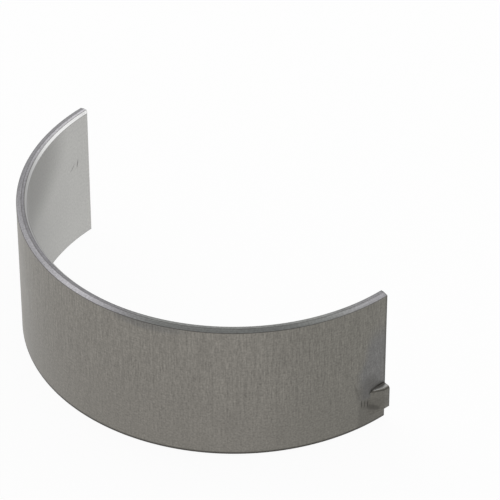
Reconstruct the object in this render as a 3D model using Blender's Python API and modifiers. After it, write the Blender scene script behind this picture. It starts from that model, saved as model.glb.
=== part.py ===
"""One half shell of a plain connecting-rod bearing, in metres, standing on its lower side face.

A steel strip with a bonded bearing lining is coined to width, bent to a half ring and nicked at one
parting edge, so that a locating lug stands out of the back. Strip and lining are one piece of metal.
+Z is along the bore, the crown faces -Y, and the lug is at the foot of the +X parting edge. The frame's
origin is the middle of the shell's own box, on the face that it stands on.
"""

from math import cos, pi, radians, sin, sqrt, tan

import bmesh
import bpy
from mathutils import Matrix, Vector

MM = 0.001

# The strip and the ring that it is bent to
HOUSING_BORE = 56.5 * MM  # diameter of the bore that the shell is pressed into
HALF_SPAN = radians(87.9)  # from the crown to a parting face, as the shell lies free
WIDTH = 20.6 * MM
WALL = 1.45 * MM

# The edges of the side faces and of the parting faces
SIDE_LAND = 0.43 * MM  # flat left on a side face, between the two chamfers
BORE_CHAMFER = 0.35 * MM
BACK_BEVEL_DROP = 0.20 * MM  # axial depth of the shallow bevel from the land out to the back
PARTING_CHAMFER = 0.25 * MM  # on the bore's edge of both parting faces

# The locating lug, pressed outwards from the bore side
LUG_FROM_SIDE = 1.50 * MM  # lower side face to the foot of the lug
LUG_WIDTH = 4.30 * MM
LUG_HEIGHT = 0.91 * MM
LUG_REACH = 2.80 * MM  # along the back, from the parting face to where the ramp meets the back
LUG_LOWER_SLOPE = radians(45)  # the drawn side leans, and the upper side is sheared square
LUG_CORNER = 0.45 * MM

# The nick that the punch leaves in the bore behind the lug
NICK_WIDTH = 3.15 * MM
NICK_DEPTH = 0.85 * MM
NICK_REACH = 2.65 * MM
NICK_LOWER_SLOPE = radians(35)
NICK_CORNER = 0.15 * MM
SHEAR_CLEARANCE = 0.05 * MM  # between the punch and the sheared side of the lug

# The punch, which gives lug and nick their flat, the fold after it and the round end in plan
PUNCH_FLAT = 0.90 * MM  # from the parting face to the fold
FOLD_LENGTH = 0.30 * MM  # along the back, over which the flat turns into the ramp
END_CORNER = 0.80 * MM

# How finely round things are drawn
RING_STEPS = 240
FOLD_STEPS = 4
END_STEPS = 8
CORNER_STEPS = 6

# How far cutters and slugs reach past what they cut or join
OVERSHOOT = 0.5 * MM

# Sizes that follow. The shell closes to the housing's half circle when it is pressed in.
OUTER_RADIUS = HOUSING_BORE / 2 * (pi / 2) / HALF_SPAN
BORE_RADIUS = OUTER_RADIUS - WALL
LAND_INNER_RADIUS = BORE_RADIUS + BORE_CHAMFER
LAND_OUTER_RADIUS = LAND_INNER_RADIUS + SIDE_LAND
LUG_TOP = LUG_FROM_SIDE + LUG_WIDTH
NICK_TOP = LUG_TOP - SHEAR_CLEARANCE
LUG_SIDE_AZIMUTH = HALF_SPAN - pi / 2  # of the parting face with the lug, from +X towards +Y
PLAIN_SIDE_AZIMUTH = -pi / 2 - HALF_SPAN

# Where the bore's axis stands, so that the origin is the middle of the shell's box
END_SHARE = sin(min(HALF_SPAN, pi / 2))
BACKMOST = max(-radius * cos(HALF_SPAN) for radius in (BORE_RADIUS, OUTER_RADIUS))
AXIS_PLACE = Vector((-LUG_HEIGHT * END_SHARE / 2, (OUTER_RADIUS - BACKMOST) / 2, 0))


def clear_scene():
    for obj in list(bpy.data.objects):
        bpy.data.objects.remove(obj)


def new_collection(name):
    collection = bpy.data.collections.new(name)
    bpy.context.scene.collection.children.link(collection)
    return collection


def polar(radius, azimuth, height=0.0):
    return Vector((radius * cos(azimuth), radius * sin(azimuth), height))


def add_object(name, mesh, collection, axis):
    obj = bpy.data.objects.new(name, mesh)
    collection.objects.link(obj)
    obj.parent = axis
    return obj


def as_cutter(obj):
    obj.hide_render = True
    obj.display_type = "WIRE"
    return obj


def mesh_from(name, build):
    """A mesh filled by build(bm), with its faces turned out."""
    mesh = bpy.data.meshes.new(name)
    bm = bmesh.new()
    build(bm)
    bmesh.ops.recalc_face_normals(bm, faces=bm.faces)
    bm.to_mesh(mesh)
    bm.free()
    return mesh


def steel():
    """Tin-flashed steel, dulled by handling."""
    material = bpy.data.materials.new("bearing_steel")
    material.use_nodes = True
    surface = material.node_tree.nodes["Principled BSDF"]
    surface.inputs["Base Color"].default_value = (0.33, 0.32, 0.30, 1.0)
    surface.inputs["Metallic"].default_value = 1.0
    surface.inputs["Roughness"].default_value = 0.42
    return material


def strip_section():
    """The strip's section as (radius, height), down the back and up the bore."""
    return [
        (OUTER_RADIUS, WIDTH - BACK_BEVEL_DROP),
        (OUTER_RADIUS, BACK_BEVEL_DROP),
        (LAND_OUTER_RADIUS, 0),
        (LAND_INNER_RADIUS, 0),
        (BORE_RADIUS, BORE_CHAMFER),
        (BORE_RADIUS, WIDTH - BORE_CHAMFER),
        (LAND_INNER_RADIUS, WIDTH),
        (LAND_OUTER_RADIUS, WIDTH),
    ]


def ring_blank(collection, axis):
    """The strip's section turned to a whole ring about the bore's axis."""

    def outline(bm):
        corners = [bm.verts.new((radius, 0, height)) for radius, height in strip_section()]
        for corner, following in zip(corners, corners[1:] + corners[:1]):
            bm.edges.new((corner, following))

    ring = add_object("bearing_shell", mesh_from("bearing_shell", outline), collection, axis)
    turn = ring.modifiers.new("turn", "SCREW")
    turn.angle = 2 * pi
    turn.steps = turn.render_steps = RING_STEPS
    turn.use_merge_vertices = True
    turn.merge_threshold = 1e-6
    return ring


def tongue_section(base, azimuth, height, foot, top, slope, corner):
    """A pressed tongue's section: leaning lower side, flat face, round corner and square upper side."""
    buried = -OVERSHOOT
    run = 1 / tan(slope)
    outline = [(buried, foot + buried * run), (height, foot + height * run)]
    for step in range(CORNER_STEPS + 1):
        turned = pi / 2 * step / CORNER_STEPS
        outline.append((height - corner * (1 - cos(turned)), top - corner * (1 - sin(turned))))
    outline.append((buried, top))
    return [polar(base + out, azimuth, level) for out, level in outline]


def tongue_height(along, reach):
    """Share of the full height: flat under the punch, a parabola over the fold, then a straight ramp."""
    ramp = reach - PUNCH_FLAT
    past_fold_start = along - (PUNCH_FLAT - FOLD_LENGTH / 2)
    if past_fold_start <= 0:
        return 1
    if past_fold_start < FOLD_LENGTH:
        return 1 - past_fold_start**2 / (2 * FOLD_LENGTH * ramp)
    return (reach - along) / ramp


def tongue_inset(along, reach):
    """How far each side draws in at the round end."""
    past_corner_start = max(0, along - (reach - END_CORNER))
    return END_CORNER - sqrt(END_CORNER**2 - min(past_corner_start, END_CORNER) ** 2)


def tongue_stations(reach):
    """Places along the back from past the parting face to where the tongue has sunk into the wall."""
    yield -OVERSHOOT
    yield 0
    for step in range(FOLD_STEPS + 1):
        yield PUNCH_FLAT + FOLD_LENGTH * (step / FOLD_STEPS - 1 / 2)
    for step in range(END_STEPS + 1):
        yield reach - END_CORNER * (1 - sin(pi / 2 * step / END_STEPS))
    yield reach + OVERSHOOT


def tongue_sections(base, height, reach, foot, top, slope, corner):
    """Sections for the loft, one at each station."""
    for along in tongue_stations(reach):
        height_share = tongue_height(along, reach)
        inset = tongue_inset(along, reach)
        yield tongue_section(
            base,
            LUG_SIDE_AZIMUTH - along / OUTER_RADIUS,
            height * height_share,
            foot + inset,
            top - inset,
            slope,
            corner * abs(height_share),
        )


def lofted(name, sections, collection, axis):
    """A closed solid through the sections, which all have the same number of points."""

    def loft(bm):
        rings = [[bm.verts.new(point) for point in section] for section in sections]
        for ring, following in zip(rings, rings[1:]):
            for k in range(len(ring)):
                j = (k + 1) % len(ring)
                bm.faces.new((ring[k], ring[j], following[j], following[k]))
        bm.faces.new(rings[0])
        bm.faces.new(rings[-1])

    return as_cutter(add_object(name, mesh_from(name, loft), collection, axis))


def lug_slug(collection, axis):
    sections = tongue_sections(
        OUTER_RADIUS, LUG_HEIGHT, LUG_REACH, LUG_FROM_SIDE, LUG_TOP, LUG_LOWER_SLOPE, LUG_CORNER
    )
    return lofted("lug_slug", sections, collection, axis)


def nick_punch(collection, axis):
    sections = tongue_sections(
        BORE_RADIUS, NICK_DEPTH, NICK_REACH, NICK_TOP - NICK_WIDTH, NICK_TOP, NICK_LOWER_SLOPE, NICK_CORNER
    )
    return lofted("nick_punch", sections, collection, axis)


def parting_wedge(collection, axis):
    """What is cut away between the two parting faces, both of which point at the bore's axis."""

    def wedge(bm):
        far = 3 * OUTER_RADIUS
        lug_side = polar(far, LUG_SIDE_AZIMUTH)
        plain_side = polar(far, PLAIN_SIDE_AZIMUTH)
        plan = [Vector((0, 0, 0)), lug_side, Vector((far, far, 0)), Vector((-far, far, 0)), plain_side]
        below = Vector((0, 0, -OVERSHOOT))
        floor = bm.faces.new([bm.verts.new(point + below) for point in plan])
        raised = bmesh.ops.extrude_face_region(bm, geom=[floor])["geom"]
        top = [item for item in raised if isinstance(item, bmesh.types.BMVert)]
        bmesh.ops.translate(bm, verts=top, vec=(0, 0, WIDTH + 2 * OVERSHOOT))

    return as_cutter(add_object("parting_wedge", mesh_from("parting_wedge", wedge), collection, axis))


def chamfer_bar(name, azimuth, away, collection, axis):
    """A square bar that takes the bore's corner off a parting face.

    away is +1 where the gap lies anticlockwise of the face, and -1 where it lies clockwise.
    """
    side = 6 * PARTING_CHAMFER
    corner = polar(BORE_RADIUS, azimuth)
    into_bore = -polar(1, azimuth)
    into_gap = away * polar(1, azimuth + pi / 2)
    outwards = (into_bore + into_gap).normalized()
    centre = corner + outwards * (side / 2 - PARTING_CHAMFER / sqrt(2))
    place = Matrix.Translation(centre + Vector((0, 0, WIDTH / 2)))
    turned = Matrix.Rotation(azimuth + pi / 4, 4, "Z")
    stretched = Matrix.Diagonal((side, side, WIDTH + 2 * OVERSHOOT, 1))

    def bar(bm):
        bmesh.ops.create_cube(bm, size=1, matrix=place @ turned @ stretched)

    return as_cutter(add_object(name, mesh_from(name, bar), collection, axis))


def add_boolean(target, operation, tool):
    step = target.modifiers.new(tool.name, "BOOLEAN")
    step.operation = operation
    step.object = tool
    step.solver = "EXACT"


def settle(obj):
    """Keeps the modifiers' result as the mesh, shaded smooth up to its real edges."""
    graph = bpy.context.evaluated_depsgraph_get()
    made = bpy.data.meshes.new_from_object(obj.evaluated_get(graph))
    obj.modifiers.clear()
    obj.data = made
    made.shade_smooth()
    made.set_sharp_from_angle(angle=radians(8))


def main():
    clear_scene()
    parts = new_collection("engine_bearing_shell")
    cutters = new_collection("cutters")
    axis = bpy.data.objects.new("bore_axis", None)
    axis.location = AXIS_PLACE
    parts.objects.link(axis)

    shell = ring_blank(parts, axis)
    shell.data.materials.append(steel())
    add_boolean(shell, "UNION", lug_slug(cutters, axis))
    add_boolean(shell, "DIFFERENCE", nick_punch(cutters, axis))
    add_boolean(shell, "DIFFERENCE", parting_wedge(cutters, axis))
    for name, azimuth, away in (
        ("lug_side_chamfer", LUG_SIDE_AZIMUTH, 1),
        ("plain_side_chamfer", PLAIN_SIDE_AZIMUTH, -1),
    ):
        add_boolean(shell, "DIFFERENCE", chamfer_bar(name, azimuth, away, cutters, axis))
    settle(shell)


main()
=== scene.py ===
"""Looks of the bearing half shell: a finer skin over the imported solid, its finishes and the studio.

The skin is the real strip again: a section with its small edge radii, swept round the bore, with the
locating lug pressed out of one end. Everything is in metres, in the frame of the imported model.
"""

from math import cos, pi, radians, sin, tan
from typing import NamedTuple

import bmesh
import bpy
import numpy as np
from bpy.props import FloatProperty, FloatVectorProperty, PointerProperty
from mathutils import Matrix, Vector


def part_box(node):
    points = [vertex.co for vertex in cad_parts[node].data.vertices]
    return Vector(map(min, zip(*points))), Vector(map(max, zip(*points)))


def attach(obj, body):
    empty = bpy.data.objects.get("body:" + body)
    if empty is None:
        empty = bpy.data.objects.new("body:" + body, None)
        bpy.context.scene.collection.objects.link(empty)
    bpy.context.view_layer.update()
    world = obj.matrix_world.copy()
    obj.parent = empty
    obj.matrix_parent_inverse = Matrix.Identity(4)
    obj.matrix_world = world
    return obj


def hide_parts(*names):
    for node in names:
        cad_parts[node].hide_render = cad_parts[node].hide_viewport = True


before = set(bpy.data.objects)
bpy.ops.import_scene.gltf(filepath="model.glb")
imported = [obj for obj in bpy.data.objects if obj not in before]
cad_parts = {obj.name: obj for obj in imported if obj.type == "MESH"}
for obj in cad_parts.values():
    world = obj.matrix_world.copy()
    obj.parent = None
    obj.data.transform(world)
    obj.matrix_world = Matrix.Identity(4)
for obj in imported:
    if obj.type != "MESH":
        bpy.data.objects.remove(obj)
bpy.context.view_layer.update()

bl_info = {
    "name": "Bearing half shell",
    "version": (1, 0, 0),
    "blender": (4, 5, 0),
    "location": "View3D > Sidebar > Half shell",
    "description": "Builds and finishes one half shell of a plain bearing",
    "category": "Object",
}

MM = 0.001
NODE = "bearing_shell"
BODY = "root"

# Bands of the strip's surface, in the order of their materials
BACK, COINED, LINING, CUT = range(4)

# How finely the skin is drawn
EDGE_ROUND = 0.05 * MM
EDGE_STEPS = 3
LINE_WIDTH = 0.05 * MM
ROOT_FILLET = 0.10 * MM
CORNER_STEPS = 8
FOLD_STEPS = 4
END_STEPS = 8
ROW_SPACING = 2.5 * MM
COLUMN_SPACING = 0.43 * MM
SMALLEST_STEP = 0.004 * MM
NO_LENGTH = 1e-6 * MM
SHARP_ANGLE = radians(32)


def length(name, description, millimetres):
    return FloatProperty(
        name=name, description=description, default=millimetres * MM, unit="LENGTH", precision=5
    )


def angle(name, description, in_degrees):
    return FloatProperty(name=name, description=description, default=radians(in_degrees), subtype="ANGLE")


def colour(name, description, red_green_blue):
    return FloatVectorProperty(
        name=name, description=description, default=red_green_blue, subtype="COLOR", min=0, max=1
    )


class StripSizes(bpy.types.PropertyGroup):
    """The strip that the shell is bent from."""

    housing_bore: length("Housing bore", "Diameter of the bore that the shell is pressed into", 56.5)
    half_span: angle("Half span", "From the crown to a parting face, as the shell lies free", 87.9)
    width: length("Width", "Along the bore", 20.6)
    wall: length("Wall", "Steel and lining together", 1.45)
    side_land: length("Side land", "Flat left on a side face between its two chamfers", 0.43)
    bore_chamfer: length("Bore chamfer", "On the bore's edge of both side faces", 0.35)
    bevel_drop: length("Back bevel", "Axial depth of the shallow bevel out to the back", 0.20)
    parting_chamfer: length("Parting chamfer", "On the bore's edge of both parting faces", 0.25)


class LugSizes(bpy.types.PropertyGroup):
    """The locating lug and the nick behind it."""

    from_side: length("From the side", "Lower side face to the foot of the lug", 1.50)
    width: length("Lug width", "Along the bore, at the lug's root", 4.30)
    height: length("Lug height", "Above the back", 0.91)
    reach: length("Lug reach", "Along the back, from the parting face to the end of the ramp", 2.80)
    slope: angle("Lug slope", "Lean of the drawn lower side", 45)
    corner: length("Lug corner", "Radius of the upper outer corner", 0.45)
    nick_width: length("Nick width", "Along the bore, at the bore's surface", 3.15)
    nick_depth: length("Nick depth", "Into the wall", 0.85)
    nick_reach: length("Nick reach", "Along the bore, from the parting face", 2.65)
    nick_slope: angle("Nick slope", "Lean of the nick's lower side", 35)
    nick_corner: length("Nick corner", "Radius in the nick's upper corner", 0.15)
    shear_clearance: length("Shear clearance", "Between the punch and the lug's sheared side", 0.05)
    punch_flat: length("Punch flat", "From the parting face to the fold", 0.90)
    fold_length: length("Fold", "Over which the flat turns into the ramp", 0.30)
    end_corner: length("End corner", "Plan radius at the tongue's inner end", 0.80)


class Finishes(bpy.types.PropertyGroup):
    """Colours of the metal, linear."""

    back: colour("Back", "Flashed steel of the back, brushed along the bore", (0.243, 0.230, 0.206))
    # The dim back is the back colour darkened, painted shade towards the lug
    dim: colour("Dim back", "Back towards the lug", (0.196, 0.188, 0.166))
    cold: colour("Cold steel", "Bluish steel of the back near the lug", (0.170, 0.168, 0.163))
    coined: colour("Coined edge", "Side faces, bevels and parting faces", (0.282, 0.277, 0.290))
    lining: colour("Lining", "Bore", (0.456, 0.454, 0.439))
    tarnish: colour("Tarnish", "Film on the coined edge, away from its ends", (0.277, 0.282, 0.273))
    cut: colour("Cut edge", "Bright chamfers of the bore", (0.560, 0.560, 0.556))
    # The grime colour also paints shade: along rounded edges, at the lug's root, on its sheared side and
    # along the foot
    grime_and_shade: colour("Grime and shade", "Dark film in corners and stains", (0.060, 0.056, 0.050))


class Studio(bpy.types.PropertyGroup):
    """Where the camera stands."""

    azimuth: angle("Azimuth", "Camera's direction round the shell, from -Y towards +X", 45.26)
    elevation: angle("Elevation", "Camera's height above the horizon", 38.09)
    roll: angle("Roll", "Turn about the line of sight", -0.09)
    distance: length("Distance", "Camera to the point that it looks at", 488.8)


def read(mesh, name):
    values = np.empty(len(mesh.vertices), np.float32)
    mesh.attributes[name].data.foreach_get("value", values)
    return values.astype(float)


def write(mesh, name, values):
    attribute = mesh.attributes.new(name, "FLOAT", "POINT")
    attribute.data.foreach_set("value", np.asarray(values, np.float32))


def write_vectors(mesh, name, values):
    attribute = mesh.attributes.new(name, "FLOAT_VECTOR", "POINT")
    attribute.data.foreach_set("vector", np.asarray(values, np.float32).ravel())


class Value:
    """An output socket that carries a number. Arithmetic on it adds Math nodes."""

    def __init__(self, graph, socket):
        self.graph = graph
        self.socket = socket

    def maths(self, operation, *operands):
        numbers = dict(enumerate(operands))
        return self.graph.add("ShaderNodeMath", {"operation": operation}, numbers)[0]

    def __add__(self, other):
        return self.maths("ADD", self, other)

    __radd__ = __add__

    def __sub__(self, other):
        return self.maths("SUBTRACT", self, other)

    def __rsub__(self, other):
        return self.maths("SUBTRACT", other, self)

    def __mul__(self, other):
        return self.maths("MULTIPLY", self, other)

    __rmul__ = __mul__

    def __truediv__(self, other):
        return self.maths("DIVIDE", self, other)

    def __rtruediv__(self, other):
        return self.maths("DIVIDE", other, self)

    def __pow__(self, other):
        return self.maths("POWER", self, other)

    def __neg__(self):
        return self * -1

    def __abs__(self):
        return self.maths("ABSOLUTE", self)

    def cosine(self):
        return self.maths("COSINE", self)

    def sine(self):
        return self.maths("SINE", self)

    def most(self, other):
        return self.maths("MAXIMUM", self, other)


class Graph:
    """A node tree that is filled one node at a time."""

    def __init__(self, tree):
        self.tree = tree

    def feed(self, socket, value):
        if isinstance(value, Value):
            value = value.socket
        if isinstance(value, bpy.types.NodeSocket):
            self.tree.links.new(value, socket)
        else:
            socket.default_value = value

    def add(self, kind, settings=None, sockets=None):
        """Adds a node, with its settings first and then its sockets, and gives its outputs as values."""
        node = self.tree.nodes.new(kind)
        for name, value in (settings or {}).items():
            setattr(node, name, value)
        for name, value in (sockets or {}).items():
            self.feed(node.inputs[name], value)
        return Outputs(self, node)

    def blend(self, share, first, second):
        """A colour between two."""
        sockets = {"Factor": share, 6: first, 7: second}
        return self.add("ShaderNodeMix", {"data_type": "RGBA"}, sockets)[2]

    def scaled(self, vector, factors):
        """A vector with each of its parts multiplied by its own factor."""
        return self.add("ShaderNodeVectorMath", {"operation": "MULTIPLY"}, {0: vector, 1: factors})[0]

    def noise(self, vector, detail, roughness):
        """Soft noise from about 0.25 to 0.75, with one lump for each unit of the vector."""
        sockets = {"Vector": vector, "Scale": 1.0, "Detail": detail, "Roughness": roughness}
        return self.add("ShaderNodeTexNoise", None, sockets)[0]

    def stretch(self, value, low, high):
        """0 below low, 1 above high, and smooth between."""
        settings = {"interpolation_type": "SMOOTHSTEP"}
        sockets = {"Value": value, "From Min": low, "From Max": high}
        return self.add("ShaderNodeMapRange", settings, sockets)[0]

    def over(self, place, low, high):
        """0 below one place and 1 above another, both in millimetres."""
        return self.stretch(place, low * MM, high * MM)

    def attribute(self, name):
        """A number that the mesh holds at each point."""
        return self.add("ShaderNodeAttribute", {"attribute_name": name})["Fac"]


class Outputs:
    """The outputs of one node, by name or by place."""

    def __init__(self, graph, node):
        self.graph = graph
        self.node = node

    def __getitem__(self, key):
        return Value(self.graph, self.node.outputs[key])


class Row(NamedTuple):
    """One line along the strip, where it starts, and what the tongue does to it at its full height."""

    depth: float  # outwards from the bore's surface
    height: float
    band: int  # of the surface from this line to the next
    edge: float = 0.0
    tongue: str = ""
    out: float = 0.0
    lift: float = 0.0
    side: float = 0.0  # 1 on the tongue's upper side and -1 on its lower one
    sheared: float = 0.0


def round_corner(before, corner, after, radius, steps):
    """Points of an arc that takes off a corner of an outline."""
    before, corner, after = Vector(before), Vector(corner), Vector(after)
    back_way = (before - corner).normalized()
    on_way = (after - corner).normalized()
    half = back_way.angle(on_way) / 2
    centre = corner + (back_way + on_way).normalized() * (radius / sin(half))
    start = corner + back_way * (radius / tan(half)) - centre
    turn = start.angle_signed(corner + on_way * (radius / tan(half)) - centre)
    for step in range(steps + 1):
        turned = Matrix.Rotation(-turn * step / steps, 2) @ start
        yield tuple(centre + turned)


def tongue_rows(tongue, base, foot, top, height, slope, corner, band):
    """Lines over a pressed tongue, from its foot up. Where it has sunk they lie in the wall's surface."""
    shoulder = foot + height / tan(slope)
    root = ROOT_FILLET
    lower = [
        *round_corner((0, foot - MM), (0, foot), (height, shoulder), root, EDGE_STEPS),
        *round_corner((0, foot), (height, shoulder), (height, top), root, EDGE_STEPS),
    ]
    yield Row(base, foot, band, 0, tongue, 0, -2 * root, -1)
    for out, level in lower:
        yield Row(base, foot, band, 0, tongue, out, level - foot, -1)
    flat = top - corner - shoulder
    for share in (1 / 3, 2 / 3):
        level = shoulder + flat * share
        yield Row(base, level, band, 0, tongue, height, 0, 2 * (level - foot) / (top - foot) - 1)
    for out, level in round_corner((height, shoulder), (height, top), (0, top), corner, CORNER_STEPS):
        yield Row(base, top, band, 0, tongue, out, level - top, 1, 0)
    for out, level in round_corner((height, top), (0, top), (0, top + MM), root, EDGE_STEPS):
        yield Row(base, top, band, 0, tongue, out, level - top, 1, 1)
    yield Row(base, top, band, 0, tongue, 0, 2 * root, 1)


def between(start, end, spacing):
    """Even places between two, without the two."""
    count = max(1, round(abs(end - start) / spacing))
    return [start + (end - start) * step / count for step in range(1, count)]


def step_on(start, target, distance):
    """The point at a distance from one point towards another."""
    start, target = Vector(start), Vector(target)
    return tuple(start + (target - start).normalized() * distance)


def strip_rows(strip, lug):
    """Every line along the strip, once round its section: up the back and down the bore."""
    inner, outer = strip.bore_chamfer, strip.bore_chamfer + strip.side_land
    corners = [
        (strip.wall, strip.bevel_drop, BACK),
        (strip.wall, strip.width - strip.bevel_drop, COINED),
        (outer, strip.width, COINED),
        (inner, strip.width, CUT),
        (0, strip.width - strip.bore_chamfer, LINING),
        (0, strip.bore_chamfer, CUT),
        (inner, 0, COINED),
        (outer, 0, COINED),
    ]
    lug_top = lug.from_side + lug.width
    nick_top = lug_top - lug.shear_clearance
    nick_foot = nick_top - lug.nick_width
    over_lug = tongue_rows(
        "lug", strip.wall, lug.from_side, lug_top, lug.height, lug.slope, lug.corner, BACK
    )
    over_nick = tongue_rows(
        "nick", 0, nick_foot, nick_top, lug.nick_depth, lug.nick_slope, lug.nick_corner, LINING
    )
    rows = []
    for place, (depth, height, band) in enumerate(corners):
        before, after = corners[place - 1], corners[(place + 1) % len(corners)]
        arc = list(round_corner(before[:2], (depth, height), after[:2], EDGE_ROUND, EDGE_STEPS))
        rows += [Row(*point, band, 1) for point in arc]
        rows.append(Row(*step_on(arc[-1], after[:2], LINE_WIDTH), band))
        if band == BACK:
            heights = between(height, lug.from_side, ROW_SPACING)
            rows += [Row(depth, level, band) for level in heights]
            rows += over_lug
            heights = between(lug_top, after[1], ROW_SPACING)
            rows += [Row(depth, level, band) for level in heights]
        if band == LINING:
            heights = between(height, nick_top, ROW_SPACING)
            rows += [Row(depth, level, band) for level in heights]
            rows += reversed(list(over_nick))
            heights = between(nick_foot, after[1], ROW_SPACING)
            rows += [Row(depth, level, band) for level in heights]
        rows.append(Row(*step_on(after[:2], rows[-1][:2], LINE_WIDTH + EDGE_ROUND), band))
    return rows


def strip_stations(strip, lug, whole):
    """Distances from the lug's parting face at which the section is drawn."""
    ends = [EDGE_ROUND * (1 - cos(pi / 2 * step / EDGE_STEPS)) for step in range(EDGE_STEPS + 1)]
    ends.append(strip.parting_chamfer)
    stations = ends + [whole - end for end in ends]
    for step in range(FOLD_STEPS + 1):
        stations.append(lug.punch_flat + lug.fold_length * (step / FOLD_STEPS - 1 / 2))
    for reach in (lug.reach, lug.nick_reach):
        for step in range(END_STEPS + 1):
            stations.append(reach - lug.end_corner * (1 - sin(pi / 2 * step / END_STEPS)))
    stations += between(lug.reach, whole - strip.parting_chamfer, COLUMN_SPACING)
    kept = []
    for station in sorted(stations):
        if not kept or station - kept[-1] > SMALLEST_STEP:
            kept.append(station)
    return kept


def line_mesh(name, points, closed, **attributes):
    """Points joined in a line, with a number of each kind at each of them."""
    count = len(points)
    edges = [(place, (place + 1) % count) for place in range(count if closed else count - 1)]
    mesh = bpy.data.meshes.new(name)
    mesh.from_pydata(points, edges, [])
    for attribute, values in attributes.items():
        write(mesh, attribute, values)
    return mesh


def bender_tree():
    """Bends a line of stations round the bore, and sweeps the strip's section along it."""
    tree = bpy.data.node_groups.new("bent strip", "GeometryNodeTree")
    for name, kind in (
        ("Stations", "NodeSocketGeometry"),
        ("Section", "NodeSocketObject"),
        ("Back radius", "NodeSocketFloat"),
        ("Half span", "NodeSocketFloat"),
        ("Material", "NodeSocketMaterial"),
    ):
        tree.interface.new_socket(name, in_out="INPUT", socket_type=kind)
    tree.interface.new_socket("Strip", in_out="OUTPUT", socket_type="NodeSocketGeometry")
    graph = Graph(tree)
    given = graph.add("NodeGroupInput")
    station = graph.add("GeometryNodeInputNamedAttribute", {"data_type": "FLOAT"}, {"Name": "station"})[0]
    radius = given["Back radius"]
    azimuth = given["Half span"] - pi / 2 - station / radius
    sockets = {"X": radius * azimuth.cosine(), "Y": radius * azimuth.sine()}
    place = graph.add("ShaderNodeCombineXYZ", None, sockets)[0]
    sockets = {"Geometry": given["Stations"], "Position": place}
    bent = graph.add("GeometryNodeSetPosition", None, sockets)[0]
    path = graph.add("GeometryNodeMeshToCurve", None, {"Mesh": bent})[0]
    turned = graph.add("GeometryNodeSetCurveNormal", None, {"Curve": path})
    turned.node.mode = "Z_UP"
    section = graph.add("GeometryNodeObjectInfo", None, {"Object": given["Section"]})["Geometry"]
    profile = graph.add("GeometryNodeMeshToCurve", None, {"Mesh": section})[0]
    sockets = {"Curve": turned[0], "Profile Curve": profile, "Fill Caps": True}
    swept = graph.add("GeometryNodeCurveToMesh", None, sockets)[0]
    real = graph.add("GeometryNodeRealizeInstances", None, {"Geometry": swept})[0]
    sockets = {"Geometry": real, "Material": given["Material"]}
    painted = graph.add("GeometryNodeSetMaterial", None, sockets)[0]
    graph.add("NodeGroupOutput", None, {"Strip": painted})
    return tree


def swept_strip(strip, rows, stations, back_radius, material):
    """The plain bent strip, as a mesh that knows each point's row and station."""
    section = line_mesh(
        "section",
        [(row.depth - strip.wall, -row.height, 0) for row in rows],
        True,
        row=range(len(rows)),
    )
    section_holder = bpy.data.objects.new("section", section)
    # The line runs from the plain end, so that the section's +X points away from the bore
    line = line_mesh("stations", [(0, 0, 0)] * len(stations), False, station=stations[::-1])
    holder = bpy.data.objects.new("strip", line)
    for helper in (section_holder, holder):
        bpy.context.scene.collection.objects.link(helper)
    bend = holder.modifiers.new("bend", "NODES")
    bend.node_group = bender_tree()
    inputs = {
        "Section": section_holder,
        "Back radius": back_radius,
        "Half span": strip.half_span,
        "Material": material,
    }
    for item in bend.node_group.interface.items_tree:
        if item.name in inputs:
            bend[item.identifier] = inputs[item.name]
    graph = bpy.context.evaluated_depsgraph_get()
    mesh = bpy.data.meshes.new_from_object(holder.evaluated_get(graph))
    for helper in (holder, section_holder):
        bpy.data.objects.remove(helper)
    return mesh


def tongue_share(station, reach, lug):
    """Share of the tongue's full height at a station: flat, then a parabola over the fold, then a ramp."""
    ramp = reach - lug.punch_flat
    past_fold_start = station - (lug.punch_flat - lug.fold_length / 2)
    over_fold = 1 - past_fold_start**2 / (2 * lug.fold_length * ramp)
    down_ramp = np.maximum(0, (reach - station) / ramp)
    share = np.where(past_fold_start < lug.fold_length, over_fold, down_ramp)
    return np.where(past_fold_start <= 0, 1, share)


def tongue_inset(station, reach, lug):
    """How far each side of the tongue draws in at its round end."""
    past_corner_start = np.clip(station - (reach - lug.end_corner), 0, lug.end_corner)
    return lug.end_corner - np.sqrt(lug.end_corner**2 - past_corner_start**2)


def inwards(depth, height):
    """Unit directions into the metal at each point of each section, as two arrays."""
    run = np.roll(depth, -1, 1) - np.roll(depth, 1, 1)
    rise = np.roll(height, -1, 1) - np.roll(height, 1, 1)
    size = np.hypot(run, rise)
    straight_up = np.where(depth > 0, 1.0, -1.0)
    gone = size < NO_LENGTH
    run = np.where(gone, 0, run / np.where(gone, 1, size))
    rise = np.where(gone, straight_up, rise / np.where(gone, 1, size))
    return -rise, run


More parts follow.
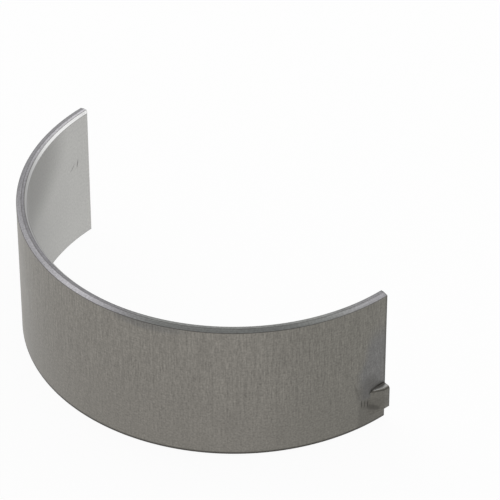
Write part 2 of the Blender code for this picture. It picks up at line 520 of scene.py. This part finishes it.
def press_ends(mesh, strip, lug, rows, whole, back_radius, axis):
    """Presses lug and nick, chamfers the parting faces and rounds their edges, in place."""
    station = read(mesh, "station")
    row = read(mesh, "row").round().astype(int)
    order = np.lexsort((row, station))
    grid = order.reshape(-1, len(rows))
    station = station[grid]
    reach = np.array([lug.nick_reach if item.tongue == "nick" else lug.reach for item in rows])
    share = tongue_share(station, reach, lug)
    drawn_in = tongue_inset(station, reach, lug)
    depth = np.array([item.depth for item in rows]) + np.array([item.out for item in rows]) * share
    height = np.array([item.height for item in rows]) + np.array([item.lift for item in rows]) * share
    height = height - np.array([item.side for item in rows]) * drawn_in
    from_end = np.minimum(station, whole - station)
    depth = np.maximum(depth, strip.parting_chamfer - from_end)
    into_depth, into_height = inwards(depth, height)
    left = np.clip(EDGE_ROUND - from_end, 0, EDGE_ROUND)
    taken = EDGE_ROUND - np.sqrt(EDGE_ROUND**2 - left**2)
    depth = depth + into_depth * taken
    height = height + into_height * taken
    radius = back_radius - strip.wall + depth
    azimuth = strip.half_span - pi / 2 - station / back_radius
    places = np.stack([axis.x + radius * np.cos(azimuth), axis.y + radius * np.sin(azimuth), height], 2)
    flat = np.stack([whole / 2 - station, depth, height], 2)
    edge = np.broadcast_to([item.edge for item in rows], station.shape)
    edge = np.maximum(edge, left > 0)
    sheared = np.array([item.sheared for item in rows]) * (share > 0)

    def by_vertex(values):
        shuffled = np.empty((len(order), *values.shape[2:]))
        shuffled[order] = values.reshape(len(order), *values.shape[2:])
        return shuffled

    mesh.vertices.foreach_set("co", by_vertex(places).astype(np.float32).ravel())
    write_vectors(mesh, "strip", by_vertex(flat))
    write(mesh, "edge", by_vertex(edge))
    write(mesh, "sheared", by_vertex(sheared))
    mesh.update()


def band_of_faces(mesh, rows, strip, whole):
    """Gives each face its band's material. The two parting faces are coined like the edges."""
    row = read(mesh, "row").round().astype(int)
    station = read(mesh, "station")
    chamfered = np.minimum(station, whole - station) < strip.parting_chamfer + SMALLEST_STEP
    last = len(rows) - 1
    for face in mesh.polygons:
        lines = {row[vertex] for vertex in face.vertices}
        if len(lines) > 2:
            face.material_index = COINED
            continue
        start = last if lines == {0, last} else min(lines)
        face.material_index = rows[start].band
        if rows[start].band == LINING and chamfered[list(face.vertices)].all():
            face.material_index = CUT


def close_up(mesh):
    """Joins the lines that lie together, and shades all but the parting faces smooth."""
    bm = bmesh.new()
    bm.from_mesh(mesh)
    bmesh.ops.remove_doubles(bm, verts=bm.verts, dist=SMALLEST_STEP / 4)
    bmesh.ops.dissolve_degenerate(bm, edges=bm.edges, dist=SMALLEST_STEP / 8)
    bmesh.ops.recalc_face_normals(bm, faces=bm.faces)
    for face in bm.faces:
        face.smooth = len(face.verts) <= 4
    bm.to_mesh(mesh)
    bm.free()
    mesh.set_sharp_from_angle(angle=SHARP_ANGLE)


def principled(name, **constants):
    """A new material, its graph and its shader."""
    material = bpy.data.materials.new(name)
    material.use_nodes = True
    material.node_tree.nodes.clear()
    graph = Graph(material.node_tree)
    shader = graph.add("ShaderNodeBsdfPrincipled", None, constants)
    graph.add("ShaderNodeOutputMaterial", None, {"Surface": shader[0]})
    return material, graph, shader.node


def strip_place(graph):
    """The flat strip's own coordinates: along it, through its wall and across its width."""
    return graph.add("ShaderNodeAttribute", {"attribute_name": "strip"})["Vector"]


def strip_parts(graph, place):
    """Along the strip from its crown, through its wall from the bore, and across it from the foot."""
    parts = graph.add("ShaderNodeSeparateXYZ", None, {"Vector": place})
    return parts["X"], parts["Y"], parts["Z"]


def opaque(linear):
    """A linear colour with its alpha."""
    return (*linear, 1.0)


def scaled_colour(graph, base, factor):
    """A colour made lighter or darker by a number."""
    return graph.add("ShaderNodeVectorMath", {"operation": "SCALE"}, {0: base, "Scale": factor})[0]


def bumped(graph, height, depth):
    """A surface direction that follows a height from 0 to 1, which stands for a depth in millimetres."""
    sockets = {"Strength": 1.0, "Distance": depth * MM, "Height": height}
    return graph.add("ShaderNodeBump", None, sockets)[0]


class Lumps(NamedTuple):
    """A noise on the flat strip. Its sizes are in millimetres, and 0 where it is even that way."""

    along: float
    through: float
    across: float
    detail: float
    roughness: float
    shade: float  # how far it lightens and darkens the metal


def lumps_of(graph, place, lumps):
    """The noise itself, which lies about 0.5."""
    sizes = (lumps.along, lumps.through, lumps.across)
    factors = tuple(1 / (size * MM) if size else 0 for size in sizes)
    return graph.noise(graph.scaled(place, factors), lumps.detail, lumps.roughness)


class Feel(NamedTuple):
    """How a band of the strip throws the light back."""

    metallic: float
    roughness: float
    uneven: float  # how far the roughness changes over the surface
    relief: float  # depth of the marks, in millimetres


class WearAndLight(NamedTuple):
    """How light a band is along the strip: partly wear, and partly painted light and shade along the arc.
    """

    plain_end: float
    middle: float
    lug_end: float
    start: float  # millimetres from the crown, where the middle begins to turn into the ends


# Where the wear and the painted light reach their tone for an end, in millimetres from the crown
WEAR_AND_LIGHT_END = 44


def worn_and_lit(graph, along, wear_and_light):
    """How light a band is at each place along the strip."""
    to_plain_end = graph.over(-along, wear_and_light.start, WEAR_AND_LIGHT_END)
    to_lug_end = graph.over(along, wear_and_light.start, WEAR_AND_LIGHT_END)
    at_plain_end = to_plain_end * (wear_and_light.plain_end - wear_and_light.middle)
    return wear_and_light.middle + at_plain_end + to_lug_end * (wear_and_light.lug_end - wear_and_light.middle)


class Mark(NamedTuple):
    """A worn or dirty spot, or a spot of painted shade, in millimetres from the crown towards the lug and
    from the foot.
    """

    name: str
    along: float
    across: float
    length: float  # half of it, along
    height: float  # half of it, across
    lean: float  # how far it moves along for each millimetre up
    depth: float  # share of the grime, the film or the painted shade, in its middle


def spot(graph, along, across, mark):
    """A mark's depth in its middle, and 0 outside it."""
    middle = mark.along * MM + (across - mark.across * MM) * mark.lean
    aside = abs(along - middle) / (mark.length * MM)
    away = abs(across - mark.across * MM) / (mark.height * MM)
    return graph.stretch(1 - (aside ** 2 + away ** 2), 0, 1) * mark.depth


def marked(graph, along, across, dirt_and_shade, marks):
    """Dirt and painted shade with marks in it."""
    for mark in marks:
        dirt_and_shade = dirt_and_shade.most(spot(graph, along, across, mark))
    return dirt_and_shade


# From here on, a pair of numbers is where a change begins and where it ends, in millimetres
BACK_MARKS = (
    Mark("first scratch under the ramp", 40.40, 4.20, 0.17, 0.95, 0.0, 0.95),
    Mark("second scratch", 40.90, 4.00, 0.17, 0.95, 0.0, 0.90),
    Mark("third scratch", 41.40, 3.75, 0.20, 1.05, 0.0, 1.00),
    Mark("brown film under the ramp", 41.20, 3.70, 1.60, 1.50, 0.0, 0.48),
    # The next two marks are painted shade, along the lug's lower root and in its upper root
    Mark("smear under the lug", 42.05, 3.05, 1.25, 0.90, -0.8, 0.75),
    Mark("dirt in the lug's upper root", 43.60, 6.02, 1.55, 0.26, 0.0, 0.85),
    Mark("foot of the ramp", 39.75, 6.30, 0.26, 2.50, -0.34, 0.40),
    Mark("film over the ramp", 41.30, 6.20, 2.10, 2.80, 0.2, 0.34),
    Mark("stain near the foot", 22.30, 5.90, 2.80, 2.40, 0.0, 0.06),
    Mark("film under the rim", 11.00, 20.10, 6.00, 0.85, 0.0, 0.05),
)
RIM_FILM = Mark("bluish film under the rim", 11.50, 20.10, 6.50, 1.10, 0.0, 0.60)

BACK_FEEL = Feel(0.85, 0.42, 0.15, 0.008)
COARSE_BRUSHING = Lumps(0.32, 0, 7, 1.0, 0.6, 0.16)
FINE_BRUSHING = Lumps(0.19, 0, 1.2, 1.0, 0.5, 0.24)
WEAVE = Lumps(2.5, 0, 0.20, 1.0, 0.5, 0.22)
BACK_GRAIN = Lumps(0.28, 0, 0.28, 1.0, 0.5, 0.72)
BACK_MOTTLE = Lumps(6, 0, 7, 3.0, 0.55, 0.14)

# The brushing is stronger high up, past a border that wanders with the mottle
COARSE_STREAKS = 0.28
FINE_STREAKS = 0.50
STREAK_WANDER = 12
STREAK_BORDER = (2, 12)

# What the fine and the coarse brushing do to the roughness and to the relief
FINE_UNEVEN = 0.1
FINE_RELIEF = 0.7
COARSE_RELIEF = 0.3

# The back is this light at its foot, and lighter by so much at its rim
FOOT_TONE = 0.96
RISE_TO_RIM = 0.08
RIM_HEIGHT = 20

# Painted shade: the back turns dim on the way to the lug
DIMMING = (20, 40)

# The bluish steel beside the lug: its border leans away above a height
COLD_FROM = 39.8
COLD_LEAN = 0.26
COLD_LEAN_FROM = 9.3
COLD_WANDER = 2
COLD_BORDER = (-0.4, 1.3)
COLD_TOP = (13, 17)
COLD_FOOT = (4.2, 5.2)
OFF_THE_LUG = (0.02, 0.15)

# Darker places of the back, and how dark each is
# Painted shade along the rounded edges
BACK_EDGE_SHADE = 0.95
# Darker low down beside the lug
LOW_CORNER = (39.6, 40.2)
LOW_CORNER_DARKNESS = 0.33
# The raised face of the lug is darker
LUG_FACE = (0.05, 0.15)
LUG_DARKNESS = 0.20
# Painted shadow on the lug's sheared upper side
SHEARED_SHADOW = 0.75
# Painted contact shadow along the foot of the back
FOOT_LINE = (0.35, 0.65)
FOOT_SHADOW = 0.9
# Painted shade along the edge at the lug's parting end
END_LINE = (44.00, 44.25)
END_EDGE_SHADE = 0.6

# The lug's burr, bright cut metal with a painted glint on it, and the painted shade under it, in
# millimetres from the lug's top
BURR_GLINT_SPAN = (-0.06, -0.01)
BURR_GLINT_BRIGHTNESS = 0.7
SHADE_FOOT = (-0.36, -0.24)
SHADE_TOP = (-0.14, -0.06)
UNDER_BURR_SHADE = 0.85


def back_tone(graph, place, across):
    """How light the brushed back is, and the noises that make it so."""
    coarse = lumps_of(graph, place, COARSE_BRUSHING)
    fine = lumps_of(graph, place, FINE_BRUSHING)
    weave = lumps_of(graph, place, WEAVE)
    grain = lumps_of(graph, place, BACK_GRAIN)
    mottle = lumps_of(graph, place, BACK_MOTTLE)
    streaked = graph.over(across + (mottle - 0.5) * (STREAK_WANDER * MM), *STREAK_BORDER)
    lines = (coarse - 0.5) * (COARSE_BRUSHING.shade + COARSE_STREAKS * streaked)
    lines = lines + (fine - 0.5) * (FINE_BRUSHING.shade + FINE_STREAKS * streaked)
    lines = lines + (weave - 0.5) * WEAVE.shade
    patches = (grain - 0.5) * BACK_GRAIN.shade + (mottle - 0.5) * BACK_MOTTLE.shade
    tone = FOOT_TONE + RISE_TO_RIM * (across / (RIM_HEIGHT * MM)) + lines + patches
    return tone, coarse, fine, mottle


def cold_share(graph, along, across, over_back, mottle):
    """Where the back is bluish: beside the lug and under the rim."""
    border = COLD_FROM * MM + (across - COLD_LEAN_FROM * MM).most(0) * COLD_LEAN
    wander = (mottle - 0.5) * (COLD_WANDER * MM)
    cold = graph.over(along - border + wander, *COLD_BORDER)
    cold = cold * (1 - graph.over(across, *COLD_TOP))
    cold = cold * graph.over(across, *COLD_FOOT)
    cold = cold * (1 - graph.over(over_back, *OFF_THE_LUG))
    return cold.most(spot(graph, along, across, RIM_FILM))


def brushed_back(finishes, strip, lug):
    """Flashed steel, brushed along the bore by drawing and handling."""
    material, graph, shader = principled("brushed back", Metallic=BACK_FEEL.metallic)
    place = strip_place(graph)
    along, depth, across = strip_parts(graph, place)
    over_back = depth - strip.wall
    over_lug_top = across - (lug.from_side + lug.width)
    tone, coarse, fine, mottle = back_tone(graph, place, across)
    # Painted shade: the back dims towards the lug
    dimmed = graph.blend(graph.over(along, *DIMMING), opaque(finishes.back), opaque(finishes.dim))
    cold = cold_share(graph, along, across, over_back, mottle)
    clean = scaled_colour(graph, graph.blend(cold, dimmed, opaque(finishes.cold)), tone)
    sheared = graph.attribute("sheared")
    raised = graph.over(over_back, *LUG_FACE)
    # Painted shade under the lug's burr
    shade = graph.over(over_lug_top, *SHADE_FOOT) * (1 - graph.over(over_lug_top, *SHADE_TOP))
    low_corner = graph.over(along, *LOW_CORNER) * (1 - graph.over(across, *COLD_FOOT))
    # Painted shade along the edges, by the lug, along the foot and at the end, mixed with the back's marks
    dirt_and_shade = marked(graph, along, across, graph.attribute("edge") * BACK_EDGE_SHADE, BACK_MARKS)
    dirt_and_shade = dirt_and_shade.most(low_corner * LOW_CORNER_DARKNESS).most(sheared * SHEARED_SHADOW)
    dirt_and_shade = dirt_and_shade.most(raised * LUG_DARKNESS).most(raised * shade * UNDER_BURR_SHADE)
    dirt_and_shade = dirt_and_shade.most((1 - graph.over(across, *FOOT_LINE)) * FOOT_SHADOW)
    dirt_and_shade = dirt_and_shade.most(graph.over(along, *END_LINE) * END_EDGE_SHADE)
    # The burr: bright cut metal with a painted glint
    burr_and_glint = raised * graph.over(over_lug_top, *BURR_GLINT_SPAN) * (1 - sheared)
    soiled_and_shaded = graph.blend(dirt_and_shade, clean, opaque(finishes.grime_and_shade))
    shown = graph.blend(burr_and_glint * BURR_GLINT_BRIGHTNESS, soiled_and_shaded, opaque(finishes.cut))
    graph.feed(shader.inputs["Base Color"], shown)
    rough = BACK_FEEL.roughness + (mottle - 0.5) * BACK_FEEL.uneven + (fine - 0.5) * FINE_UNEVEN
    graph.feed(shader.inputs["Roughness"], rough)
    relief = coarse * COARSE_RELIEF + fine * FINE_RELIEF
    graph.feed(shader.inputs["Normal"], bumped(graph, relief, BACK_FEEL.relief))
    return material


RIM_FEEL = Feel(0.85, 0.34, 0.2, 0.016)
# Tones along the rim, partly wear and partly painted light and shade
LAND_WEAR_AND_LIGHT = WearAndLight(1.60, 0.69, 0.92, 20)
BEVEL_WEAR_AND_LIGHT = WearAndLight(0.92, 0.86, 1.28, 26)
BEVEL_DEPTH = (0.76, 0.80)
TOOL_MARKS = Lumps(9, 0.10, 0.10, 1.0, 0.5, 0.55)
RIM_MOTTLE = Lumps(3, 0.5, 0.5, 2.0, 0.5, 0.35)
RIM_NICKS = Lumps(0.30, 0.25, 0.25, 1.0, 0.5, 0.7)
# Painted shade along the rim's rounded edges
RIM_EDGE_SHADE = 0.6

# The bevel has a painted highlight at the crown, and turns darker on the way to the lug, partly dull and
# partly painted shade
CROWN_HIGHLIGHT = 0.52
CROWN_HIGHLIGHT_REACH = (0, 9)
DULL_AND_SHADED = 0.40
DULL_AND_SHADED_FROM = (4, 15)
DULL_AND_SHADED_TO = (28, 42)

# A greenish film lies on the rim between the crown and the lug
TARNISH_FROM = (5, 14)
TARNISH_TO = (34, 44)

# Painted shade on the land, along its edge with the bore's chamfer
LAND_SHADE = 0.75
LAND_SHADE_DEPTH = (0.38, 0.50)
LAND_SHADE_FROM = (-36, -28)
LAND_SHADE_TO = (-16, -8)


def worn_and_lit_bevel(graph, along):
    """How light the bevel of the back is along the strip."""
    # A painted highlight at the crown, and darkening towards the lug that is partly painted shade
    highlighted = 1 - graph.over(abs(along), *CROWN_HIGHLIGHT_REACH)
    dull_and_shaded = graph.over(along, *DULL_AND_SHADED_FROM) * (1 - graph.over(along, *DULL_AND_SHADED_TO))
    return worn_and_lit(graph, along, BEVEL_WEAR_AND_LIGHT) * (1 + highlighted * CROWN_HIGHLIGHT) * (1 - dull_and_shaded * DULL_AND_SHADED)


def coined_edge(finishes):
    """Side faces, bevels of the back and parting faces, with the marks of a tool that ran along them."""
    material, graph, shader = principled("coined edge", Metallic=RIM_FEEL.metallic)
    place = strip_place(graph)
    along, depth, _ = strip_parts(graph, place)
    marks = lumps_of(graph, place, TOOL_MARKS)
    mottle = lumps_of(graph, place, RIM_MOTTLE)
    nicks = lumps_of(graph, place, RIM_NICKS)
    land = worn_and_lit(graph, along, LAND_WEAR_AND_LIGHT)
    # Tones along the arc: partly wear, partly painted light and shade
    wear_and_light = land + graph.over(depth, *BEVEL_DEPTH) * (worn_and_lit_bevel(graph, along) - land)
    patches = (marks - 0.5) * TOOL_MARKS.shade + (mottle - 0.5) * RIM_MOTTLE.shade
    tone = wear_and_light * (1 + patches + (nicks - 0.5) * RIM_NICKS.shade)
    tarnish = graph.over(along, *TARNISH_FROM) * (1 - graph.over(along, *TARNISH_TO))
    base = graph.blend(tarnish, opaque(finishes.coined), opaque(finishes.tarnish))
    toned = scaled_colour(graph, base, tone)
    # Painted shade on the land beside the chamfer, and along the rounded edges
    shade_band = graph.over(along, *LAND_SHADE_FROM) * (1 - graph.over(along, *LAND_SHADE_TO))
    shade_band = shade_band * (1 - graph.over(depth, *LAND_SHADE_DEPTH))
    dirt_and_shade = (graph.attribute("edge") * RIM_EDGE_SHADE).most(shade_band * LAND_SHADE)
    graph.feed(shader.inputs["Base Color"], graph.blend(dirt_and_shade, toned, opaque(finishes.grime_and_shade)))
    graph.feed(shader.inputs["Roughness"], RIM_FEEL.roughness + (mottle - 0.5) * RIM_FEEL.uneven)
    graph.feed(shader.inputs["Normal"], bumped(graph, marks, RIM_FEEL.relief))
    return material


CUT_FEEL = Feel(0.9, 0.30, 0.1, 0.010)
# Tones along the chamfers, partly wear and partly painted light and shade
CUT_WEAR_AND_LIGHT = WearAndLight(0.90, 0.50, 0.90, 4)
CUT_MARKS = Lumps(7, 0.09, 0.09, 1.0, 0.5, 0.2)
# Painted shade along the chamfers' rounded edges
CUT_EDGE_SHADE = 0.5

# Painted shade on the chamfer beside the lining, from the crown's side on
CUT_SHADE = 0.65
CUT_SHADE_DEPTH = (0.08, 0.20)
CUT_SHADE_FROM = (-22, -14)


def cut_edge(finishes):
    """The chamfers of the bore, cut bright through the lining."""
    material, graph, shader = principled("bright cut", Metallic=CUT_FEEL.metallic)
    place = strip_place(graph)
    along, depth, _ = strip_parts(graph, place)
    marks = lumps_of(graph, place, CUT_MARKS)
    # Tone along the arc, partly wear and partly painted light and shade
    tone = worn_and_lit(graph, along, CUT_WEAR_AND_LIGHT) * (1 + (marks - 0.5) * CUT_MARKS.shade)
    toned = scaled_colour(graph, finishes.cut, tone)
    # Painted shade beside the lining and along the rounded edges
    shade_band = (1 - graph.over(depth, *CUT_SHADE_DEPTH)) * graph.over(along, *CUT_SHADE_FROM)
    dirt_and_shade = (graph.attribute("edge") * CUT_EDGE_SHADE).most(shade_band * CUT_SHADE)
    graph.feed(shader.inputs["Base Color"], graph.blend(dirt_and_shade, toned, opaque(finishes.grime_and_shade)))
    graph.feed(shader.inputs["Roughness"], CUT_FEEL.roughness + (marks - 0.5) * CUT_FEEL.uneven)
    graph.feed(shader.inputs["Normal"], bumped(graph, marks, CUT_FEEL.relief))
    return material


LINING_FEEL = Feel(0.8, 0.5, 0.15, 0.004)
# Tones along the bore, partly wear and partly painted light and shade
LINING_WEAR_AND_LIGHT = WearAndLight(1.15, 0.57, 1.10, 14)
LINING_MOTTLE = Lumps(4, 0, 5, 3.0, 0.55, 0.16)
LINING_GRAIN = Lumps(0.25, 0, 0.35, 2.0, 0.6, 0.42)
# Painted shade along the bore's rounded edges
LINING_EDGE_SHADE = 0.5
LINING_MARKS = (
    Mark("steep scratch", -41.70, 13.05, 0.12, 0.85, -0.23, 0.75),
    Mark("slanted scratch", -40.55, 12.85, 0.14, 0.60, -1.24, 0.60),
    # A darker patch in the bore under the chamfer
    Mark("dull patch under the chamfer", -29.50, 19.60, 11.00, 10.00, 0.0, 0.34),
)


def matte_lining(finishes):
    """The lining of the bore: plain, matte and a little scratched."""
    material, graph, shader = principled("matte lining", Metallic=LINING_FEEL.metallic)
    place = strip_place(graph)
    along, _, across = strip_parts(graph, place)
    mottle = lumps_of(graph, place, LINING_MOTTLE)
    grain = lumps_of(graph, place, LINING_GRAIN)
    patches = (mottle - 0.5) * LINING_MOTTLE.shade + (grain - 0.5) * LINING_GRAIN.shade
    # Tone along the arc, partly wear and partly painted light and shade
    clean = scaled_colour(graph, finishes.lining, worn_and_lit(graph, along, LINING_WEAR_AND_LIGHT) * (1 + patches))
    # Painted shade along the rounded edges, with the scratches and the darker patch
    dirt_and_shade = marked(graph, along, across, graph.attribute("edge") * LINING_EDGE_SHADE, LINING_MARKS)
    graph.feed(shader.inputs["Base Color"], graph.blend(dirt_and_shade, clean, opaque(finishes.grime_and_shade)))
    rough = LINING_FEEL.roughness + (mottle - 0.5) * LINING_FEEL.uneven
    graph.feed(shader.inputs["Roughness"], rough)
    graph.feed(shader.inputs["Normal"], bumped(graph, grain, LINING_FEEL.relief))
    return material


WHITE = (1, 1, 1, 1)
FLOOR_COLOUR = (0.8, 0.8, 0.8, 1)
FLOOR_REACH = 3.0  # metres from its middle to each side
FLOOR_GLOW = 1.06
FLOOR_GLOW_SHARE = 0.88  # the rest is matte and holds the shadow
WORLD_LIGHT = 0.45  # strength of the light on the shell, where 1 is white


def watched(graph):
    """1 for what the camera sees, straight or in the metal, and 0 for what only lights the shell."""
    seen = graph.add("ShaderNodeLightPath")
    return seen["Is Camera Ray"].most(seen["Is Glossy Ray"]).most(seen["Is Transmission Ray"])


def floor_finish():
    """A pale floor, which shows white to the camera and in the metal, and keeps a soft shadow."""
    material = bpy.data.materials.new("pale floor")
    material.use_nodes = True
    material.node_tree.nodes.clear()
    graph = Graph(material.node_tree)
    matte = graph.add("ShaderNodeBsdfDiffuse", None, {"Color": FLOOR_COLOUR})[0]
    glow = graph.add("ShaderNodeEmission", None, {"Color": WHITE, "Strength": FLOOR_GLOW})[0]
    share = watched(graph) * FLOOR_GLOW_SHARE
    mixed = graph.add("ShaderNodeMixShader", None, {0: share, 1: matte, 2: glow})[0]
    graph.add("ShaderNodeOutputMaterial", None, {"Surface": mixed})
    return material


def light_the_world():
    """White where it is seen, also in the metal, and a plain pale light on everything else."""
    world = bpy.data.worlds.new("studio")
    bpy.context.scene.world = world
    world.use_nodes = True
    world.node_tree.nodes.clear()
    graph = Graph(world.node_tree)
    strength = WORLD_LIGHT + watched(graph) * (1 - WORLD_LIGHT)
    glow = graph.add("ShaderNodeBackground", None, {"Color": WHITE, "Strength": strength})[0]
    graph.add("ShaderNodeOutputWorld", None, {"Surface": glow})


class Lamp(NamedTuple):
    """A square soft box."""

    name: str
    azimuth: float  # degrees from the camera's own direction, anticlockwise seen from above
    elevation: float  # degrees
    distance: float  # metres from the point that it is turned to
    size: float  # metres
    power: float  # watts
    aim: tuple  # the point that it is turned to, in millimetres


LAMPS = (
    Lamp("left box", -135, 42, 0.50, 0.24, 0.16, (0, 0, 10)),
    Lamp("high box", -150, 66, 0.50, 0.24, 0.04, (0, 0, 10)),
    Lamp("right box", 108, 25, 0.50, 0.30, 0.30, (0, 0, 10)),
    Lamp("rear card", 180, 45, 0.13, 0.05, 0.005, (-29, 13, 20)),
)


def towards(azimuth, elevation):
    """The unit direction of a camera or lamp that stands at that azimuth and elevation."""
    return Vector((sin(azimuth) * cos(elevation), -cos(azimuth) * cos(elevation), sin(elevation)))


def add_lamp(lamp, camera_azimuth):
    data = bpy.data.lights.new(lamp.name, "AREA")
    data.shape = "SQUARE"
    data.size = lamp.size
    data.energy = lamp.power
    made = bpy.data.objects.new(lamp.name, data)
    way = towards(camera_azimuth + radians(lamp.azimuth), radians(lamp.elevation))
    made.location = Vector(lamp.aim) * MM + way * lamp.distance
    made.rotation_euler = (-way).to_track_quat("-Z", "Y").to_euler()
    bpy.context.scene.collection.objects.link(made)


# The camera's lens, in millimetres
SENSOR_WIDTH = 36
FOCAL_LENGTH = 252.73

# What the camera looks at, in millimetres, and what it can see, in metres
LOOKED_AT = (-9.084, 26.372, 0)
NEAREST, FARTHEST = 0.05, 10


def add_camera(studio):
    aim = Vector(LOOKED_AT) * MM
    data = bpy.data.cameras.new("camera")
    data.sensor_width = SENSOR_WIDTH
    data.lens = FOCAL_LENGTH
    data.clip_start, data.clip_end = NEAREST, FARTHEST
    camera = bpy.data.objects.new("camera", data)
    way = towards(studio.azimuth, studio.elevation)
    camera.location = aim + way * studio.distance
    level = (-way).to_track_quat("-Z", "Y").to_matrix()
    camera.rotation_euler = (level @ Matrix.Rotation(studio.roll, 3, "Z")).to_euler()
    bpy.context.scene.collection.objects.link(camera)
    bpy.context.scene.camera = camera


class HalfShellBuild(bpy.types.Operator):
    """Builds the half shell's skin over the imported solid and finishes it"""

    bl_idname = "half_shell.build"
    bl_label = "Build the shell"

    def execute(self, context):
        strip = context.scene.shell_strip
        lug = context.scene.shell_lug
        finishes = context.scene.shell_finishes
        back_radius = strip.housing_bore / 2 * (pi / 2) / strip.half_span
        whole = 2 * strip.half_span * back_radius
        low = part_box(NODE)[0]
        axis = Vector((low.x + back_radius * sin(strip.half_span), low.y + back_radius, 0))
        materials = [
            brushed_back(finishes, strip, lug),
            coined_edge(finishes),
            matte_lining(finishes),
            cut_edge(finishes),
        ]
        rows = strip_rows(strip, lug)
        stations = strip_stations(strip, lug, whole)
        mesh = swept_strip(strip, rows, stations, back_radius, materials[BACK])
        mesh.name = "half_shell"
        for material in materials[1:]:
            mesh.materials.append(material)
        press_ends(mesh, strip, lug, rows, whole, back_radius, axis)
        band_of_faces(mesh, rows, strip, whole)
        close_up(mesh)
        shell = bpy.data.objects.new("half_shell", mesh)
        context.scene.collection.objects.link(shell)
        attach(shell, BODY)
        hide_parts(NODE)
        return {"FINISHED"}


class HalfShellStage(bpy.types.Operator):
    """Sets the floor, the lamps, the world and the camera"""

    bl_idname = "half_shell.stage"
    bl_label = "Set the stage"

    def execute(self, context):
        studio = context.scene.shell_studio
        mesh = bpy.data.meshes.new("floor")
        bm = bmesh.new()
        bmesh.ops.create_grid(bm, x_segments=1, y_segments=1, size=FLOOR_REACH)
        bm.to_mesh(mesh)
        bm.free()
        mesh.materials.append(floor_finish())
        floor = bpy.data.objects.new("floor", mesh)
        context.scene.collection.objects.link(floor)
        light_the_world()
        for lamp in LAMPS:
            add_lamp(lamp, studio.azimuth)
        add_camera(studio)
        return {"FINISHED"}


class HalfShellPanel(bpy.types.Panel):
    """Lists the sizes, the finishes and the operators"""

    bl_idname = "VIEW3D_PT_half_shell"
    bl_label = "Half shell"
    bl_space_type = "VIEW_3D"
    bl_region_type = "UI"
    bl_category = "Half shell"

    def draw(self, context):
        for name in ("shell_strip", "shell_lug", "shell_finishes", "shell_studio"):
            group = getattr(context.scene, name)
            box = self.layout.box()
            for prop in group.bl_rna.properties:
                if prop.identifier not in ("rna_type", "name"):
                    box.prop(group, prop.identifier)
        for operator in (HalfShellBuild, HalfShellStage):
            self.layout.operator(operator.bl_idname)


GROUPS = {
    "shell_strip": StripSizes,
    "shell_lug": LugSizes,
    "shell_finishes": Finishes,
    "shell_studio": Studio,
}
CLASSES = (*GROUPS.values(), HalfShellBuild, HalfShellStage, HalfShellPanel)


def register():
    for kind in CLASSES:
        bpy.utils.register_class(kind)
    for name, group in GROUPS.items():
        setattr(bpy.types.Scene, name, PointerProperty(type=group))


def unregister():
    for name in GROUPS:
        delattr(bpy.types.Scene, name)
    for kind in reversed(CLASSES):
        bpy.utils.unregister_class(kind)


def main():
    register()
    bpy.ops.half_shell.build()
    bpy.ops.half_shell.stage()
    bpy.context.scene.view_settings.view_transform = "Standard"


if __name__ == "__main__":
    main()
